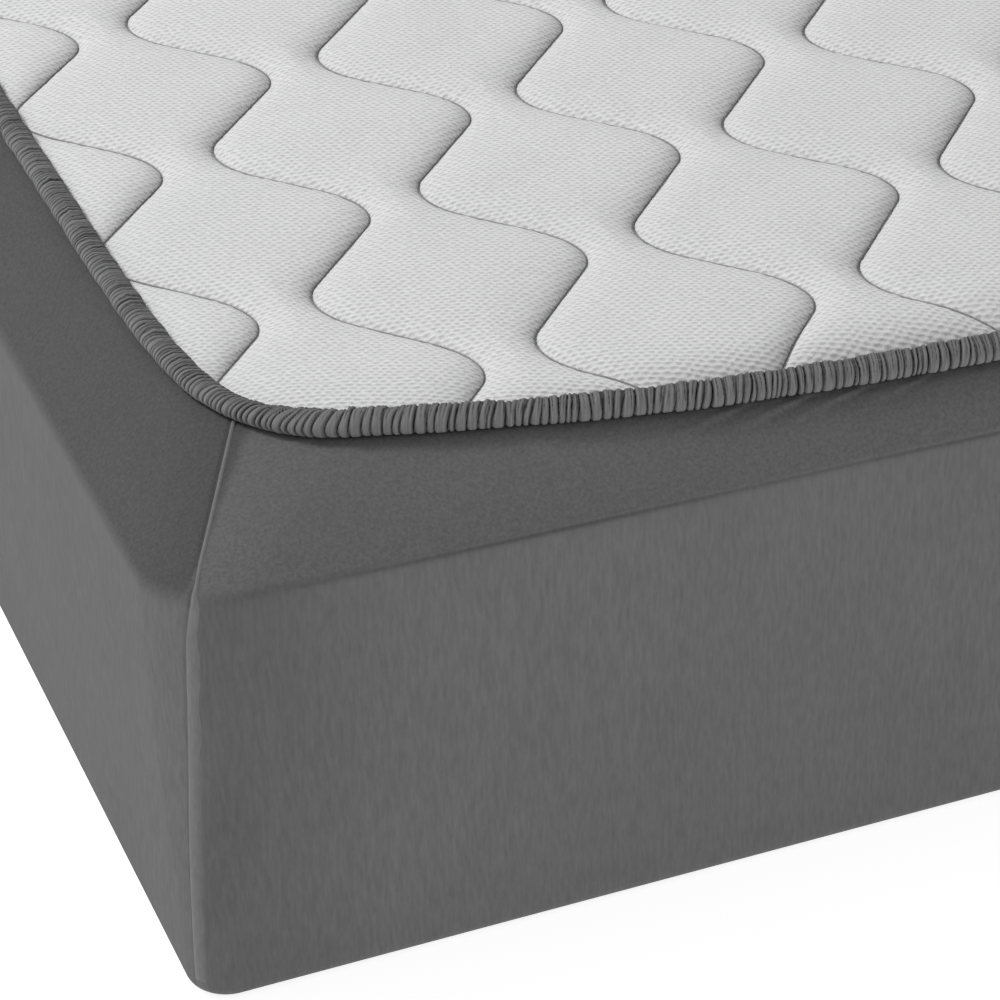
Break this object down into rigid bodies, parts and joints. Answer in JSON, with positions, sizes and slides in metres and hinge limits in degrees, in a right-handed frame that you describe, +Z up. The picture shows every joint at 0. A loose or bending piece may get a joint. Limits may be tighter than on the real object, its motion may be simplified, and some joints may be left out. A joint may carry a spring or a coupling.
{
  "type": "pressure relief mattress",
  "caption": "Foam pressure relief mattress lying turned over in a deep fitted cover, its gathered hem round a quilted face, over zoned and castellated foam layers.",
  "frame": {"origin": "middle of the flat face that the mattress lies on", "axes": "+X along the mattress to its head end, +Y across it to the side with the zip, +Z up"},
  "size_m": [2, 0.9, 0.2393],
  "materials": {
    "cover_cloth": "matte",
    "hem_cloth": "matte",
    "elastic": "matte",
    "quilt_knit": "matte",
    "quilt_wadding": "matte",
    "scrim": "matte",
    "border_knit": "matte",
    "edge_tape": "matte",
    "zip_cloth": "matte",
    "zip_coil": "satin",
    "zip_metal": "satin",
    "fire_knit": "matte",
    "memory_foam": "matte",
    "relief_foam": "matte",
    "support_foam": "matte",
    "rail_foam": "matte"
  },
  "bodies": {
    "mattress": {"fitted_cover": "cover_cloth", "corner_seam_foot_front": "cover_cloth", "corner_seam_foot_back": "cover_cloth", "corner_seam_head_front": "cover_cloth", "corner_seam_head_back": "cover_cloth", "hem_casing": "hem_cloth", "hem_elastic": "elastic", "upper_quilt_knit": "quilt_knit", "upper_quilt_wadding": "quilt_wadding", "upper_quilt_scrim": "scrim", "lower_quilt_knit": "quilt_knit", "lower_quilt_wadding": "quilt_wadding", "lower_quilt_scrim": "scrim", "upper_edge_tape": "edge_tape", "lower_edge_tape": "edge_tape", "border_strip": "border_knit", "zip_border_upper": "border_knit", "zip_border_lower": "border_knit", "zip_tape_upper": "zip_cloth", "zip_tape_lower": "zip_cloth", "zip_coil_upper": "zip_coil", "zip_coil_lower": "zip_coil", "zip_top_stops": "zip_metal", "zip_bottom_stop": "zip_metal", "fire_barrier_sock": "fire_knit", "memory_foam_layer": "memory_foam", "heel_zone_foam": "relief_foam", "torso_zone_foam": "relief_foam", "head_zone_foam": "relief_foam", "support_core": "support_foam", "left_side_rail": "rail_foam", "right_side_rail": "rail_foam"},
    "zip_slider": {"zip_slider": "zip_metal"},
    "zip_pull": {"zip_pull": "zip_metal"}
  },
  "joints": [
    {"name": "zip_slide", "type": "slide", "parent": "mattress", "child": "zip_slider", "axis": [-1, 0, 0], "range_m": [0, 1.744]},
    {"name": "zip_pull_swing", "type": "hinge", "parent": "zip_slider", "child": "zip_pull", "pos_m": [0.8754, 0.44585, 0.1], "axis": [0, 0, -1], "range_deg": [0, 9]}
  ]
}
